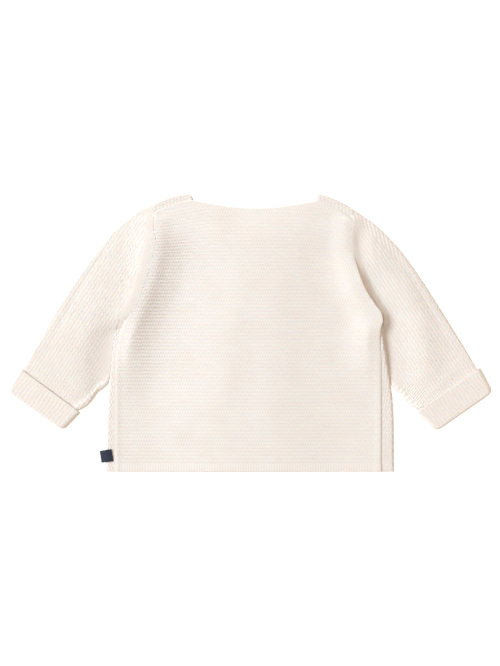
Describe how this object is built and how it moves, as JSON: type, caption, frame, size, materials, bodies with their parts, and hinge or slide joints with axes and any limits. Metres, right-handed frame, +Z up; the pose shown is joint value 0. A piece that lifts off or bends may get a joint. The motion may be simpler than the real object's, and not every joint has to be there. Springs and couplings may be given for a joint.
{
  "type": "baby cardigan",
  "caption": "Garter-knit baby cardigan laid flat with its back up: back, two buttoned fronts, sleeves with turned-back cuffs and a small side tab.",
  "frame": {"origin": "middle of the cardigan's outline, on the surface that it lies on", "axes": "+X towards the wearer's right sleeve, +Y towards the neck, +Z up through the back of the cardigan"},
  "size_m": [0.4704, 0.2703, 0.0093],
  "materials": {
    "cream_knit": "soft matt cotton garter knit, cream",
    "navy_tab": "dense matt woven tape, navy",
    "button_shell": "smooth cream button with a soft gloss"
  },
  "bodies": {
    "root": {"back": "cream_knit", "front_left": "cream_knit", "front_right": "cream_knit", "sleeve_left": "cream_knit", "sleeve_right": "cream_knit", "cuff_left": "cream_knit", "cuff_right": "cream_knit", "label": "navy_tab", "button_1": "button_shell", "button_2": "button_shell", "button_3": "button_shell", "button_4": "button_shell", "button_5": "button_shell"}
  },
  "joints": []
}
